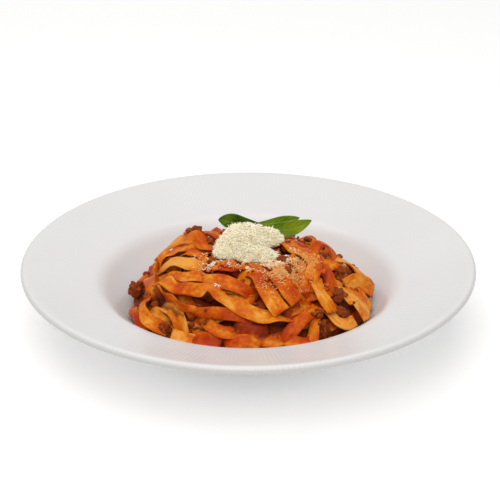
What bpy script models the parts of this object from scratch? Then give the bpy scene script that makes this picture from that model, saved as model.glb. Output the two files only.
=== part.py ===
"""Fettuccine with ragu, grated parmesan and basil, served in a wide-rimmed porcelain pasta plate.

The plate is a turned solid. The pasta is one solid: a low core with ribbons laid over it one after the
other. Each ribbon follows a few plan points, rests on what lies below it and keeps clear of the toppings.
Lengths below are millimetres, and meshes are made in metres.
"""

import math

import bmesh
import bpy
import numpy as np
from mathutils import Vector, noise

MM = 0.001

# Plate
PLATE_RADIUS = 135.0
WELL_RADIUS = 87.0  # where the well meets the rim
WELL_EDGE_Z = 36.0
FLOOR_RADIUS = 38.0
FLOOR_Z = 8.0
WELL_POWER = 2.4  # how late the well's floor turns up into its wall
RIM_RISE = 11.2  # from the well's edge to the lip's outermost line
LIP_RADIUS = 2.3
FOOT_RADIUS = 50.0
FOOT_WIDTH = 5.0
FOOT_HEIGHT = 3.0
PLATE_STEPS = 48

# Heap of pasta: a flat-topped dome whose height falls off as a power of the radius
HEAP_X = 2.0
HEAP_RADIUS = 77.0
HEAP_TOP_Z = 60.0
HEAP_EDGE_Z = 24.0
HEAP_POWER = 2.6
CORE_DROP = 4.5  # the core lies this far below the dome
CORE_RADIUS = 75.0
CORE_SIDES = 36
CORE_TOP_RINGS = [0.15, 0.3, 0.42, 0.54, 0.64, 0.72, 0.8, 0.87, 0.94, 1.0]  # shares of its radius
CORE_BOTTOM_RINGS = [-1.0, -0.85, -0.5]
CORE_TOP_Z = 53.0
CORE_SKIRT = 1.5  # its least thickness, at its edge
CORE_RELIEF = 0.6  # height of its gentle bumps
MEAT_BED = 1.8  # how far below a piece of meat the core stays
MEAT_MARGIN = 5.0  # how far round a piece of meat the core is hollowed
GAP = 0.5  # between solids that touch

# Fettuccine
NOODLE_THICK = 1.6
LOOSE_WIDTH = 8.0
STEP = 1.5  # between the points at which a noodle is laid
SOLID_EVERY = 4  # of those points, the ones its solid keeps
END_POINTS = 3  # of them, those a noodle keeps where it dives out of sight
SINK = 0.5  # how far a noodle presses into what it lies on
TUCK = -5.0  # lift at a hidden end, which dives under its neighbours
SAG = 0.02  # how far a loose noodle sinks at each pass that eases its line
EASING_PASSES = 25
SHORTEST_RUN = 8.0  # a shorter stretch that shows is left out

# Loose noodles: how many, how high over the dome they may lie and how far forward they may come
UNDER_COUNT = 14
UNDER_LIMITS = (-2.0, -90.0)
RIM_COUNT = 12
RIM_LIMITS = (3.0, -20.0)
BACK_COUNT = 15
BACK_LIMITS = (-0.2, 6.0)
TRIES = 12  # for each of them
LOOSE_RADII = (20, 60)  # of the arc that each follows
LOOSE_SPREAD = 20  # of the middles of those arcs
LOOSE_POINTS = 6
LOOSE_ROLL = 14  # spread of their roll
LOOSE_REACH = 71  # radius that they stay within
RIM_RADII = (60, 70)
RIM_HEADINGS = (-0.3, 2.7)

# The field holds the height reached so far over a square grid of plan cells
CELL = 1.0
HALF_CELLS = 90

# Parmesan
MOUND_X = 0.5
MOUND_Y = -5.0
MOUND_RX = 21.5
MOUND_RY = 21.0
MOUND_RISE = 10.5  # of its top over the dome
MOUND_FOOT = 0.72  # share of its radii within which it reaches down to the core
MOUND_FLOOR_Z = 53.6
MOUND_EAVES = 1.6  # height over the dome of the underside that overhangs the noodles
MOUND_HEM = 1.2  # thickness of its thin edge
MOUND_SHREDS = 16  # that stick out of it
SHRED_THICK = 1.0

# Cheese scattered on the noodles: number of shreds, then the plan box they fall in
SCATTERED = [
    (14, (-6, 40), (-40, -22)),
    (5, (-36, -22), (-12, -4)),
]

# Ribbons that show, from the lowest to the topmost: width, then plan x, y, lift above the dome and roll
SHOWN_NOODLES = [
    (8.5, [(-47, -56, -5, 0), (-39, -59, -1, 0), (-31, -62, -5, 0)]),
    (8.5, [(-33, -60, -5, 0), (-25, -65, -1, -10), (-16, -68, -5, 0)]),
    (8.5, [(-13, -69, -5, 0), (-4, -69, -1, 0), (7, -69, -5, 0)]),
    (8.0, [(8, -67, -5, 0), (15, -68, -2, 0), (22, -64, -5, 0)]),
    (9.0, [(3, -56, -7, 0), (6, -64, -2, 0), (8, -69, -5, 0)]),
    (7.5, [(-29, -50, -7, 0), (-24, -59, -2, 0), (-17, -62, -6, 0)]),
    (7.5, [(-64, -21, -5, 0), (-68, -25, -1, 0), (-64, -36, -1, 0), (-57, -44, -5, 0)]),
    (8.0, [(-61, -35, -1, 0), (-53, -46, 0, 0), (-43, -53, -5, 0)]),
    (7.5, [(-61, -28, -6, 0), (-54, -40, 0, 0), (-47, -44, -6, 0)]),
    (8.0, [(-59, -20, -6, 0), (-61, -31, 1, 0), (-63, -35, 0, 0), (-62, -40, -5, 0)]),
    (8.0, [(-57, 0, -5, 0), (-59, -8, 0, 0), (-57, -19, 0, 0), (-53, -27, -6, 0)]),
    (8.0, [(-54, -7, -6, 0), (-45, -19, -1, 0), (-34, -28, 0, 0), (-23, -33, 0, 0), (-12, -30, -6, 0)]),
    (8.5, [(-51, -11, -5, 20), (-51, -6, 2, 20), (-45, -8, 2, 0), (-36, -17, 2, 0), (-20, -21, -6, 0)]),
    (8.0, [(-40, 3, -5, 0), (-32, -9, 1, 20), (-21, -9, -6, 0)]),
    (8.0, [(-50, 17, -6, 0), (-42, 23, -1, 0), (-32, 24, -1, 0), (-23, 23, -1, 0), (-15, 19, -6, 0)]),
    (9.0, [(-57, 14, -7, 0), (-49, 14, 2, 0), (-43, 9, 3, -20), (-35, 1, 3, -30), (-26, -1, 2, -20),
           (-18, 3, -6, 0)]),
    (8.0, [(-25, -17, -5, 0), (-16, -27, 1, 0), (-8, -28, 1, 0), (0, -22, -6, 0)]),
    (8.5, [(-29, -28, -6, 0), (-19, -40, 1, 0), (-9, -43, 1, 0), (4, -43, -6, 10)]),
    (8.0, [(18, -52, -7, 0), (26, -51, -1, 0), (37, -42, -7, 0)]),
    (8.5, [(45, 2, -7, 0), (54, 4, 1, 0), (63, 2, 3, 0), (70, -3, 1, 0)]),
    (7.5, [(18, 8, -5, 0), (25, 6, 1, 0), (31, 2, 1, 0), (36, -5, -5, 0)]),
    (8.0, [(30, -4, -7, 0), (36, 2, 2, 0), (42, 4, 6, 0), (48, 4, 6, 0), (53, 1, -5, 0)]),
    (8.0, [(60, -8, -7, 0), (67, -20, -1.5, 0), (66, -34, -1.5, 0), (57, -46, -1.5, 0), (47, -52, -7, 0)]),
    (9.0, [(57, -21, -7, -10), (63, -15, 1, -10), (70, -11, 2, -10), (76, -10, 0, -10)]),
    (9.5, [(57, -17, -7, 0), (61, -24, 0, 0), (64, -29, 0.5, 0), (67, -34, 0, 0), (68, -40, -6, 0)]),
    (7.5, [(45, -42, -6, 0), (48, -48, 0, 0), (53, -52, 0, 0), (59, -48, -1, 0), (64, -40, -5, 0)]),
    (6.5, [(38, -1, -5, -40), (43, -17, 3, -55), (46, -23, 3, -40), (49, -26, 1, -10), (50, -30, -5, 0)]),
    (8.0, [(15, -10, -6, 0), (23, -19, 1, 0), (30, -24, 1, 0), (33, -33, 1, 0), (30, -40, -5, 0)]),
    (9.5, [(19, 7, -5, 0), (28, -8, 2, 0), (35, -15, 3, -10), (39, -24, 3, -10), (33, -39, -5, 0)]),
    (7.5, [(38, -26, -6, 0), (42, -39, 2, 0), (45, -43, 2, 0), (48, -46, 1, 0)]),
    (6.0, [(33, -49, -4, -40), (34, -56, 1, -50), (35, -60, 0, -40), (38, -63, -5, -20)]),
    (8.0, [(17, -67, -5, 10), (23, -64, 1, 10), (29, -59, 2, 10), (37, -51, 0, 20)]),
    (7.5, [(-3, -24, -7, 0), (3, -41, 2, 10), (7, -50, 4, 10), (11, -57, 4, 0), (16, -58, 1, -10)]),
    (7.5, [(10, -30, -6, -10), (15, -43, 3, -15), (21, -50, 5, -15), (27, -53, 4, -10)]),
    (7.0, [(-55, 8, -4, -40), (-54, -20, 4, -45), (-45, -44, 4, -45), (-20, -59, 3, -25),
           (4, -61, -6, -10)]),
    (9.5, [(-51, -28, -4, 20), (-42, -36, 2, 10), (-23, -45, 3, 0), (-17, -50, 4, 45), (-4, -60, 4, -10),
           (13, -62, 3, 30), (24, -57, -4, 50)]),
]

# Pieces of minced meat: plan x, y and lift of the middle, then length, width, height and turn about Z
MEAT = [
    (-67, -4, -2, 9, 8, 11, 10),
    (-58, -19, -5, 9, 7, 7, 70),
    (-32, 18, 5, 10, 8, 9, 20),
    (-26, 7, -2, 8, 6, 6, 0),
    (56, -6, -5, 11, 9, 11, 40),
    (50, -29, -6, 10, 9, 10, 0),
    (54, -39, -6, 10, 9, 11, 50),
    (41, -53, -7, 9, 8, 13, 0),
    (17, -30, -4, 8, 7, 7, 0),
    (23, 2, -3, 7, 6, 7, 30),
    (-49, -47, -6, 11, 9, 9, -30),
    (-12, -63, -7, 16, 7, 7, -5),
    (-55, -30, -6, 7, 6, 7, 0),
    (44, -17, -7, 6, 6, 8, 0),
]

# Basil: base, middle and tip of the midrib, then width, tilt of the face and how far it cups
BASIL = [
    ((7, 23, 62.5), (-6, 20.0, 64.5), (-18, 16, 68.0), 11.0, 52, 1.2),
    ((8, 27, 61.5), (19, 25, 62.5), (30, 23, 66.0), 9.0, 55, 1.0),
    ((9, 20, 62.0), (24, 16.5, 62.8), (38, 16, 66.5), 11.5, 48, 1.2),
]
LEAF_THICK = 0.8
LEAF_ROWS = 8

PORCELAIN = (0.82, 0.81, 0.80)
PASTA = (0.75, 0.27, 0.05)
RAGU = (0.16, 0.045, 0.02)
CHEESE = (0.90, 0.82, 0.60)
LEAF_GREEN = (0.05, 0.16, 0.01)


def make_collection(name, parent):
    """A new collection under another."""
    made = bpy.data.collections.new(name)
    parent.children.link(made)
    return made


def make_material(name, color, roughness):
    """A plain Principled BSDF material."""
    made = bpy.data.materials.new(name)
    made.use_nodes = True
    shader = made.node_tree.nodes["Principled BSDF"]
    shader.inputs["Base Color"].default_value = (*color, 1.0)
    shader.inputs["Roughness"].default_value = roughness
    return made


def object_from_bmesh(name, shape, collection, material):
    """Turn a bmesh in millimetres into an object in metres."""
    bmesh.ops.scale(shape, vec=(MM, MM, MM), verts=shape.verts)
    mesh = bpy.data.meshes.new(name)
    shape.to_mesh(mesh)
    shape.free()
    mesh.materials.append(material)
    made = bpy.data.objects.new(name, mesh)
    collection.objects.link(made)
    return made


def well_height(radius):
    """Height of the well's inner surface at a radius."""
    climb = np.clip((radius - FLOOR_RADIUS) / (WELL_RADIUS - FLOOR_RADIUS), 0, 1.1)
    return FLOOR_Z + (WELL_EDGE_Z - FLOOR_Z) * climb**WELL_POWER


def dome(x, y):
    """Height of the heap's upper envelope over a plan position."""
    reach = np.minimum(np.hypot(x - HEAP_X, y) / HEAP_RADIUS, 1.15)
    return HEAP_EDGE_Z + (HEAP_TOP_Z - HEAP_EDGE_Z) * (1 - reach**HEAP_POWER)


def dome_normal(x, y):
    """Unit normal of the envelope."""
    slope_x = (dome(x + 1, y) - dome(x - 1, y)) / 2
    slope_y = (dome(x, y + 1) - dome(x, y - 1)) / 2
    normal = np.stack([-slope_x, -slope_y, np.ones_like(slope_x)], -1)
    return normal / np.linalg.norm(normal, axis=-1, keepdims=True)


def core_height(x, y):
    """Height of the bare core, which is hollowed below each piece of meat."""
    bumps = CORE_RELIEF * np.sin(0.21 * x + 0.9) * np.cos(0.17 * y - 0.4)
    height = np.minimum(dome(x, y) - CORE_DROP + bumps, CORE_TOP_Z)
    for mx, my, lift, length, width, tall, _ in MEAT:
        reach = np.hypot(x - mx, y - my) / (0.5 * max(length, width) + MEAT_MARGIN)
        floor = dome(mx, my) + lift - 0.5 * tall - MEAT_BED
        height = np.where(reach < 1, np.minimum(height, floor), height)
    return height


def curve_through(points, step):
    """Even points along a Catmull-Rom curve through the rows, spaced by their plan distance."""
    rows = np.asarray(points, float)
    rows = np.vstack([2 * rows[0] - rows[1], rows, 2 * rows[-1] - rows[-2]])
    share = np.linspace(0, 1, 20, endpoint=False)[:, None]
    fine = []
    for a, b, c, d in zip(rows, rows[1:], rows[2:], rows[3:]):
        cubic = 3 * b - 3 * c + d - a
        square = 2 * a - 5 * b + 4 * c - d
        fine.append(b + 0.5 * ((c - a) * share + square * share**2 + cubic * share**3))
    fine = np.vstack([*fine, rows[-2:-1]])
    run = np.append(0, np.cumsum(np.hypot(*np.diff(fine[:, :2], axis=0).T)))
    places = np.linspace(0, run[-1], max(4, round(run[-1] / step)) + 1)
    return np.stack([np.interp(places, run, column) for column in fine.T], -1)


def ribbon_frame(line, roll):
    """Unit width direction and face normal along a ribbon that lies on the dome, turned by its roll."""
    along = np.gradient(line, axis=0)
    along /= np.linalg.norm(along, axis=1, keepdims=True)
    side = np.cross(along, dome_normal(line[:, 0], line[:, 1]))
    side /= np.linalg.norm(side, axis=1, keepdims=True)
    up = np.cross(side, along)
    turn = np.radians(roll)[:, None]
    across = side * np.cos(turn) + up * np.sin(turn)
    return across, np.cross(across, along)


def cells(x, y):
    """Indices of the field's cells over plan positions."""
    column = np.clip(np.round(x / CELL).astype(int) + HALF_CELLS, 0, 2 * HALF_CELLS)
    row = np.clip(np.round(y / CELL).astype(int) + HALF_CELLS, 0, 2 * HALF_CELLS)
    return column, row


FIELD_X, FIELD_Y = np.mgrid[-HALF_CELLS:HALF_CELLS + 1, -HALF_CELLS:HALF_CELLS + 1] * CELL
WELL_FIELD = well_height(np.hypot(FIELD_X, FIELD_Y)) + GAP + 1.0


def lay(path, width, field, loose):
    """Centre line of a noodle at rest: on the field below it and, unless it is loose, at its own lift."""
    x, y, lift, roll = path.T
    goal = np.full_like(x, -np.inf) if loose else dome(x, y) + lift
    sag = SAG if loose else 0.0
    height = dome(x, y)
    offset = np.linspace(-0.5, 0.5, 7) * width
    for _ in range(3):
        across, face = ribbon_frame(np.stack([x, y, height], -1), roll)
        spot = cells(x[:, None] + offset * across[:, 0:1], y[:, None] + offset * across[:, 1:2])
        edge = 0.5 * NOODLE_THICK * np.abs(face[:, 2:3]) - offset * across[:, 2:3]
        rest = (field[spot] + edge).max(axis=1) - SINK + np.minimum(lift, 0)
        rest = np.maximum(rest, (WELL_FIELD[spot] + edge).max(axis=1))
        height = np.maximum(rest, goal)
        for _ in range(EASING_PASSES):
            eased = height.copy()
            eased[1:-1] = 0.25 * height[:-2] + 0.5 * height[1:-1] + 0.25 * height[2:] - sag
            height = np.maximum(eased, rest)
    return np.stack([x, y, height], -1)


def raise_field(field, line, roll, width):
    """Lift the field to the top of a noodle that has been laid."""
    across, face = ribbon_frame(line, roll)
    offset = np.linspace(-0.5, 0.5, 15) * width
    for share in (0.0, 0.5):
        middle = line[:-1] * (1 - share) + line[1:] * share
        x = middle[:, 0:1] + offset * across[:-1, 0:1]
        y = middle[:, 1:2] + offset * across[:-1, 1:2]
        top = middle[:, 2:3] + offset * across[:-1, 2:3] + 0.5 * NOODLE_THICK * np.abs(face[:-1, 2:3])
        np.maximum.at(field, cells(x, y), top)


def in_toppings(points):
    """Whether each point lies in the room kept for the meat or the parmesan."""
    x, y, z = np.moveaxis(points, -1, 0)
    room = GAP + 0.5
    reach = np.hypot((x - MOUND_X) / MOUND_RX, (y - MOUND_Y) / MOUND_RY)
    inside = reach < MOUND_FOOT + 0.06
    inside |= (reach < 1.04) & (z > dome(x, y) + MOUND_EAVES - room)
    for mx, my, lift, length, width, tall, turn in MEAT:
        c, s = math.cos(math.radians(turn)), math.sin(math.radians(turn))
        u = ((x - mx) * c + (y - my) * s) / (0.5 * length + room)
        v = ((y - my) * c - (x - mx) * s) / (0.5 * width + room)
        w = (z - dome(mx, my) - lift) / (0.5 * tall + room)
        inside |= u * u + v * v + w * w < 1
    return inside


def shown_runs(line, roll, width, field):
    """The stretches of a noodle that show from above, keep clear of the toppings and aren't mere scraps."""
    across, face = ribbon_frame(line, roll)
    offset = np.linspace(-0.5, 0.5, 7)[:, None, None] * width
    skin = np.concatenate([line + offset * across + 0.5 * side * NOODLE_THICK * face for side in (-1, 1)])
    bare = (skin[..., 2] > field[cells(skin[..., 0], skin[..., 1])] - 1.0).any(axis=0)
    bare = np.convolve(bare, np.ones(2 * END_POINTS + 1), "same") > 0
    free = np.flatnonzero(bare & ~in_toppings(skin).any(axis=0))
    runs = np.split(free, np.flatnonzero(np.diff(free) > 1) + 1)
    return [run for run in runs if len(run) * STEP > SHORTEST_RUN]


def loose_path(draw, middle, radii, headings):
    """Plan points of a loose noodle: a wandering arc about a middle, or None where it leaves the heap."""
    angle = np.linspace(*headings, LOOSE_POINTS)
    reach = draw.uniform(*radii) * (1 + 0.1 * draw.normal(size=LOOSE_POINTS))
    x, y = middle[0] + reach * np.cos(angle), middle[1] + reach * np.sin(angle)
    kept = np.flatnonzero(np.hypot(x - HEAP_X, y) < LOOSE_REACH)
    run = max(np.split(kept, np.flatnonzero(np.diff(kept) > 1) + 1), key=len)
    if len(run) < 4:
        return None
    lift = np.zeros(len(run))
    lift[[0, -1]] = TUCK
    return np.stack([x[run], y[run], lift, draw.normal(0, LOOSE_ROLL, len(run))], -1)


def lay_one(path, field, highest, nearest_y):
    """A loose noodle as a one-item list, or none if it comes too near or lies too high over the dome."""
    if path is None or path[:, 1].min() < nearest_y:
        return []
    path = curve_through(path, STEP)
    line = lay(path, LOOSE_WIDTH, field, True)
    if (line[:, 2] - dome(line[:, 0], line[:, 1])).max() > highest:
        return []
    raise_field(field, line, path[:, 3], LOOSE_WIDTH)
    return [(line, path[:, 3], LOOSE_WIDTH)]


def lay_loose(field, draw, count, highest, nearest_y):
    """Loose noodles across the heap, under a height above the dome and behind a line."""
    laid = []
    for _ in range(TRIES * count):
        start = draw.uniform(0, math.tau)
        headings = (start, start + draw.uniform(1.0, 2.6) * draw.choice((-1, 1)))
        path = loose_path(draw, draw.normal(0, LOOSE_SPREAD, 2), LOOSE_RADII, headings)
        if len(laid) < count:
            laid += lay_one(path, field, highest, nearest_y)
    return laid


def lay_rim(field, draw):
    """Noodles that run along the heap's foot, round its back and sides."""
    laid = []
    for start in np.linspace(*RIM_HEADINGS, RIM_COUNT):
        first = start + draw.normal(0, 0.1)
        path = loose_path(draw, (HEAP_X, 0), RIM_RADII, (first, first + draw.uniform(0.7, 1.1)))
        laid += lay_one(path, field, *RIM_LIMITS)
    return laid


def lay_noodles():
    """Every noodle from the bottom up, as (line, roll, width), and the height field over them."""
    field = np.maximum(core_height(FIELD_X, FIELD_Y), WELL_FIELD)
    draw = np.random.default_rng(11)
    laid = lay_loose(field, draw, UNDER_COUNT, *UNDER_LIMITS)
    for width, points in SHOWN_NOODLES:
        path = curve_through(points, STEP)
        line = lay(path, width, field, False)
        raise_field(field, line, path[:, 3], width)
        laid.append((line, path[:, 3], width))
    laid += lay_rim(field, draw)
    laid += lay_loose(field, draw, BACK_COUNT, *BACK_LIMITS)
    return laid, field


def plate_profile():
    """Outline of the plate's wall from the floor's middle over the lip and down to the foot."""
    inner = [(r, float(well_height(r))) for r in (0, FLOOR_RADIUS, 53, 63, 71, 78, 84)]
    edge = [(WELL_RADIUS, WELL_EDGE_Z - 0.5), (WELL_RADIUS + 3.5, WELL_EDGE_Z + 1.6)]
    lip_z = WELL_EDGE_Z + RIM_RISE
    lip_r = PLATE_RADIUS - LIP_RADIUS
    turns = np.radians((105, 50, 0, -60))
    lip = [(lip_r + LIP_RADIUS * math.cos(a), lip_z + LIP_RADIUS * math.sin(a)) for a in turns]
    under = [(96, 33.5), (84, 23), (70, 11), (FOOT_RADIUS, 0)]
    foot = [(FOOT_RADIUS - FOOT_WIDTH, 0), (FOOT_RADIUS - FOOT_WIDTH - 1, FOOT_HEIGHT), (0, FOOT_HEIGHT)]
    return inner + edge + lip + under + foot


def make_plate(collection):
    """The plate, turned from its profile."""
    shape = bmesh.new()
    points = [shape.verts.new((r, 0, z)) for r, z in plate_profile()]
    for a, b in zip(points, points[1:]):
        shape.edges.new((a, b))
    plate = object_from_bmesh("bowl", shape, collection, make_material("porcelain", PORCELAIN, 0.12))
    turn = plate.modifiers.new("turn", "SCREW")
    turn.steps = turn.render_steps = PLATE_STEPS
    turn.use_merge_vertices = True
    turn.merge_threshold = 0.00001
    turn.use_smooth_shade = True


def make_core(collection, material):
    """The body of the heap: a domed top on rings of points, closed by a bottom that follows the well."""
    shape = bmesh.new()
    headings = np.arange(CORE_SIDES) * math.tau / CORE_SIDES
    rings = []
    for share in CORE_TOP_RINGS + CORE_BOTTOM_RINGS:
        radius = CORE_RADIUS * abs(share)
        low = well_height(radius) + GAP + 0.2
        ring = []
        for heading in headings:
            x, y = radius * math.cos(heading), radius * math.sin(heading)
            z = max(float(core_height(x, y)), low + CORE_SKIRT) if share > 0 else low
            ring.append(shape.verts.new((x, y, z)))
        rings.append(ring)
    for outer, inner in zip(rings, rings[1:]):
        for i in range(CORE_SIDES):
            j = (i + 1) % CORE_SIDES
            shape.faces.new((outer[i], outer[j], inner[j], inner[i]))
    for ring in (rings[0][::-1], rings[-1]):
        shape.faces.new(ring)
    bmesh.ops.recalc_face_normals(shape, faces=shape.faces)
    return object_from_bmesh("pasta", shape, collection, material)


def make_ribbon(line, roll, width, name, collection, material):
    """A noodle's solid: a strip of triangles given its thickness."""
    keep = np.unique(np.append(np.arange(0, len(line), SOLID_EVERY), len(line) - 1))
    across, _ = ribbon_frame(line, roll)
    shape = bmesh.new()
    pairs = []
    for centre, side in zip(line[keep], across[keep]):
        pairs.append([shape.verts.new(centre + 0.5 * sign * width * side) for sign in (-1, 1)])
    for (a, b), (c, d) in zip(pairs, pairs[1:]):
        shape.faces.new((a, b, d, c))
    bmesh.ops.triangulate(shape, faces=shape.faces)
    made = object_from_bmesh(name, shape, collection, material)
    body = made.modifiers.new("body", "SOLIDIFY")
    body.thickness = NOODLE_THICK * MM
    body.offset = 0


def make_shred(spot, length, heading, pitch, name, collection, material):
    """A short stick of cheese."""
    bpy.ops.mesh.primitive_cube_add(size=MM, location=Vector(spot) * MM)
    made = bpy.context.active_object
    made.name = name
    made.scale = (length, SHRED_THICK, SHRED_THICK)
    made.rotation_euler = (0, pitch, heading)
    for owner in list(made.users_collection):
        owner.objects.unlink(made)
    collection.objects.link(made)
    made.data.materials.append(material)


def fuse(target, pieces, solver):
    """Join a collection's pieces to the target for good, and keep only the one outer body."""
    join = target.modifiers.new("join", "BOOLEAN")
    join.operation = "UNION"
    join.operand_type = "COLLECTION"
    join.collection = pieces
    join.solver = solver
    graph = bpy.context.evaluated_depsgraph_get()
    joined = bpy.data.meshes.new_from_object(target.evaluated_get(graph))
    target.modifiers.remove(join)
    target.data = joined
    for piece in list(pieces.objects):
        bpy.data.objects.remove(piece)
    bpy.data.collections.remove(pieces)
    keep_largest(target.data)


def keep_largest(mesh):
    """Keep the largest part of a mesh, and drop loose scraps and the shells of sealed hollows."""
    shape = bmesh.new()
    shape.from_mesh(mesh)
    bmesh.ops.triangulate(shape, faces=shape.faces)
    unseen = set(shape.faces)
    parts = []
    while unseen:
        part, edge_of_part = set(), [unseen.pop()]
        while edge_of_part:
            face = edge_of_part.pop()
            part.add(face)
            near = {other for edge in face.edges if len(edge.link_faces) == 2 for other in edge.link_faces}
            near &= unseen
            unseen -= near
            edge_of_part.extend(near)
        parts.append(part)
    parts.sort(key=len)
    bmesh.ops.delete(shape, geom=[face for part in parts[:-1] for face in part], context="FACES")
    shape.to_mesh(mesh)
    shape.free()


def scatter_cheese(pieces, material, field):
    """Shreds of cheese half sunk in the noodles' tops, clear of the meat and the mound."""
    draw = np.random.default_rng(3)
    for count, across, deep in SCATTERED:
        for number in range(count):
            x, y = draw.uniform(*across), draw.uniform(*deep)
            length, heading = draw.uniform(3, 4.5), draw.uniform(0, math.pi)
            reach = np.linspace(-0.7, 0.7, 5) * length
            rail = np.stack([x + reach * math.cos(heading), y + reach * math.sin(heading)], -1)
            tops = field[cells(rail[:, 0], rail[:, 1])]
            if in_toppings(np.column_stack([rail, tops + SHRED_THICK])).any():
                continue
            pitch = -math.atan2(tops[3] - tops[1], 0.7 * length)
            make_shred((x, y, tops[2] + 0.1), length, heading, pitch, f"scattered_{number}", pieces, material)


def make_pasta(collection, laid, field):
    """The core, its noodles and the cheese scattered on them, fused into one solid."""
    pasta_material = make_material("sauced pasta", PASTA, 0.35)
    pasta = make_core(collection, pasta_material)
    pieces = make_collection("noodles", collection)
    for number, (line, roll, width) in enumerate(laid):
        for run in shown_runs(line, roll, width, field):
            make_ribbon(line[run], roll[run], width, f"noodle_{number}", pieces, pasta_material)
    scatter_cheese(pieces, pasta_material, field)
    fuse(pasta, pieces, "MANIFOLD")
    return pasta


def make_meat(collection, material, number, piece):
    """A lumpy piece of minced meat."""
    x, y, lift, length, width, tall, turn = piece
    shape = bmesh.new()
    bmesh.ops.create_icosphere(shape, subdivisions=2, radius=1)
    for vert in shape.verts:
        lump = 0.12 * noise.noise(vert.co * 1.9 + Vector((number, 0, 0))) - 0.08
        vert.co = vert.co * (1 + lump)
        vert.co = Vector((vert.co.x * length, vert.co.y * width, vert.co.z * tall)) / 2
    made = object_from_bmesh(f"meat_{number:02d}", shape, collection, material)
    made.location = Vector((x, y, float(dome(x, y)) + lift)) * MM
    made.rotation_euler.z = math.radians(turn)
    made.data.shade_smooth()


def mound_top(x, y):
    """Height of the parmesan's fluffy surface."""
    reach = np.minimum(np.hypot((x - MOUND_X) / MOUND_RX, (y - MOUND_Y) / MOUND_RY), 1)
    fluff = 0.8 * noise.noise(Vector((0.25 * x, 0.25 * y, 3.0)))
    hem = MOUND_EAVES + MOUND_HEM
    return float(dome(x, y)) + hem + (MOUND_RISE - hem) * (1 - reach**2.2) + fluff


def make_parmesan(collection):
    """The heap of grated cheese: a lumpy mound with shreds that stick out of it."""
    cheese = make_material("grated cheese", CHEESE, 0.7)
    shape = bmesh.new()
    bmesh.ops.create_uvsphere(shape, u_segments=20, v_segments=12, radius=1)
    for vert in shape.verts:
        tilt = math.acos(max(-1, min(1, abs(vert.co.z)))) / (math.pi / 2)
        heading = math.atan2(vert.co.y, vert.co.x)
        ragged = 0.94 + 0.05 * noise.noise(Vector((2.2 * math.cos(heading), 2.2 * math.sin(heading), 7)))
        x = MOUND_X + MOUND_RX * ragged * tilt * math.cos(heading)
        y = MOUND_Y + MOUND_RY * ragged * tilt * math.sin(heading)
        if vert.co.z > -0.001:
            z = mound_top(x, y)
        elif tilt > MOUND_FOOT + 0.05:
            z = float(dome(x, y)) + MOUND_EAVES
        else:
            z = MOUND_FLOOR_Z
        vert.co = (x, y, z)
    mound = object_from_bmesh("parmesan", shape, collection, cheese)
    pieces = make_collection("shreds", collection)
    draw = np.random.default_rng(5)
    for number in range(MOUND_SHREDS):
        heading, reach = draw.uniform(0, math.tau), 0.8 * math.sqrt(draw.uniform(0, 1))
        x = MOUND_X + MOUND_RX * reach * math.cos(heading)
        y = MOUND_Y + MOUND_RY * reach * math.sin(heading)
        spot = (x, y, mound_top(x, y) + 0.2)
        length, turn, pitch = draw.uniform(3, 5), draw.uniform(0, math.tau), draw.uniform(-0.7, 0.7)
        make_shred(spot, length, turn, pitch, f"shred_{number}", pieces, cheese)
    fuse(mound, pieces, "EXACT")
    return mound


def make_leaf(collection, material, number, leaf):
    """A basil leaf: a pointed outline on a curved midrib, cupped and slightly wavy."""
    base, middle, tip, width, tilt, cup = leaf
    base, middle, tip = Vector(base), Vector(middle), Vector(tip)
    bend = 2 * middle - 0.5 * (base + tip)
    along = (tip - base).normalized()
    lean = Vector((0, math.cos(math.radians(tilt)), math.sin(math.radians(tilt))))
    across = (lean - along * lean.dot(along)).normalized()
    face = along.cross(across)
    if face.y > 0:
        face = -face
    shape = bmesh.new()
    grid = []
    for i in range(LEAF_ROWS):
        t = i / (LEAF_ROWS - 1)
        centre = base * (1 - t) ** 2 + bend * 2 * t * (1 - t) + tip * t**2
        half = 0.5 * width * max(0.06, math.sin(math.pi * t**0.85) ** 0.75)
        row = []
        for j in range(-2, 3):
            v = j / 2
            rise = cup * v * v + 0.35 * math.sin(9 * t + 2 * v)
            row.append(shape.verts.new(centre + across * half * v + face * rise * half / (0.5 * width)))
        grid.append(row)
    for low, high in zip(grid, grid[1:]):
        for a, b, c, d in zip(low, low[1:], high[1:], high):
            shape.faces.new((a, b, c, d))
    bmesh.ops.triangulate(shape, faces=shape.faces)
    made = object_from_bmesh(f"basil_leaf_{number}", shape, collection, material)
    body = made.modifiers.new("body", "SOLIDIFY")
    body.thickness = LEAF_THICK * MM
    body.offset = 0
    made.data.shade_smooth()


def main():
    """Build every solid of the dish in its own named node."""
    for thing in list(bpy.data.objects):
        bpy.data.objects.remove(thing)
    dish = make_collection("fettuccine_ragu", bpy.context.scene.collection)
    make_plate(dish)
    laid, field = lay_noodles()
    make_pasta(dish, laid, field)
    ragu = make_material("browned mince", RAGU, 0.5)
    for number, piece in enumerate(MEAT, 1):
        make_meat(dish, ragu, number, piece)
    make_parmesan(dish)
    green = make_material("basil", LEAF_GREEN, 0.4)
    for number, leaf in enumerate(BASIL, 1):
        make_leaf(dish, green, number, leaf)


main()
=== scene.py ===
"""Looks of a serving of fettuccine with ragu in its porcelain plate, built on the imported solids.

Lengths are millimetres until a mesh is made, and meshes are in metres. The noodles are laid by the same rules
as the solids: each follows a few plan points, rests on what lies below it, and lifts the height field for the
next one. The toppings then take their places on that field.
"""

import math

import bpy
import numpy as np
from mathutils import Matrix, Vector, noise


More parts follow.
